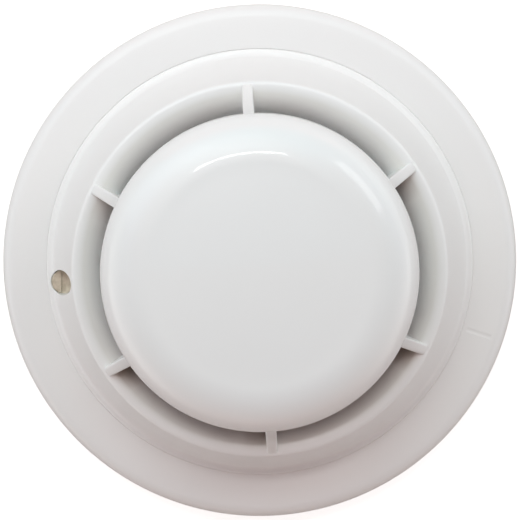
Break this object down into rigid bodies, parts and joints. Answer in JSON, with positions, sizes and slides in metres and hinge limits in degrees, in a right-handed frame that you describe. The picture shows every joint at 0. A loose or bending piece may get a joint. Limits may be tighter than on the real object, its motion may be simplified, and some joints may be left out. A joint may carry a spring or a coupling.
{
  "type": "heat detector",
  "caption": "Round white ceiling heat detector: mounting base, twist-lock head, slotted domed cover held by six ribs, and a slotted lock screw.",
  "frame": {"origin": "centre of the mounting base's back face, which lies on the ceiling or box", "axes": "+Z out of the ceiling into the room through the dome; -X towards the lock screw"},
  "size_m": [0.102, 0.1018, 0.0452],
  "materials": {
    "white_plastic": "satin moulded",
    "inner_plastic": "matt moulded",
    "nickel_steel": "dull nickel plate",
    "spring_brass": "rolled strip",
    "zinc_steel": "bright zinc plate",
    "board_green": "solder mask on glass fibre",
    "component_black": "moulded epoxy",
    "glass_bead": "glazed bead",
    "led_red": "clear tinted lens",
    "can_aluminium": "drawn can"
  },
  "bodies": {
    "base": {"mounting_base": "white_plastic", "terminal_strip_1": "spring_brass", "terminal_strip_2": "spring_brass", "terminal_strip_3": "spring_brass", "terminal_strip_4": "spring_brass", "clamp_washer_1": "zinc_steel", "clamp_washer_2": "zinc_steel", "clamp_washer_3": "zinc_steel", "clamp_washer_4": "zinc_steel", "terminal_screw_1": "zinc_steel", "terminal_screw_2": "zinc_steel", "terminal_screw_3": "zinc_steel", "terminal_screw_4": "zinc_steel"},
    "head": {"head_chassis": "inner_plastic", "air_deflector": "inner_plastic", "circuit_board": "board_green", "sensing_thermistor": "glass_bead", "reference_thermistor": "glass_bead", "alarm_led": "led_red", "capacitor": "can_aluminium", "microcontroller": "component_black", "bridge_rectifier": "component_black", "switching_transistor": "component_black", "contact_blade_1": "spring_brass", "contact_blade_2": "spring_brass", "contact_blade_3": "spring_brass", "contact_blade_4": "spring_brass", "board_screw_1": "zinc_steel", "board_screw_2": "zinc_steel", "board_screw_3": "zinc_steel", "resistor_1": "component_black", "resistor_2": "component_black", "resistor_3": "component_black", "resistor_4": "component_black"},
    "cover": {"cover": "white_plastic"},
    "lock_screw": {"lock_screw": "nickel_steel"}
  },
  "joints": [
    {"name": "head_twist", "type": "hinge", "parent": "base", "child": "head", "pos_m": [0, 0, 0], "axis": [0, 0, 1], "range_deg": [0, 18]},
    {"name": "cover_lift", "type": "slide", "parent": "head", "child": "cover", "axis": [0, 0, 1], "range_m": [0, 0.03]},
    {"name": "lock_screw_turn", "type": "hinge", "parent": "head", "child": "lock_screw", "pos_m": [-0.03889, -0.00095, 0.0088], "axis": [0, 0, 1], "continuous": true}
  ]
}
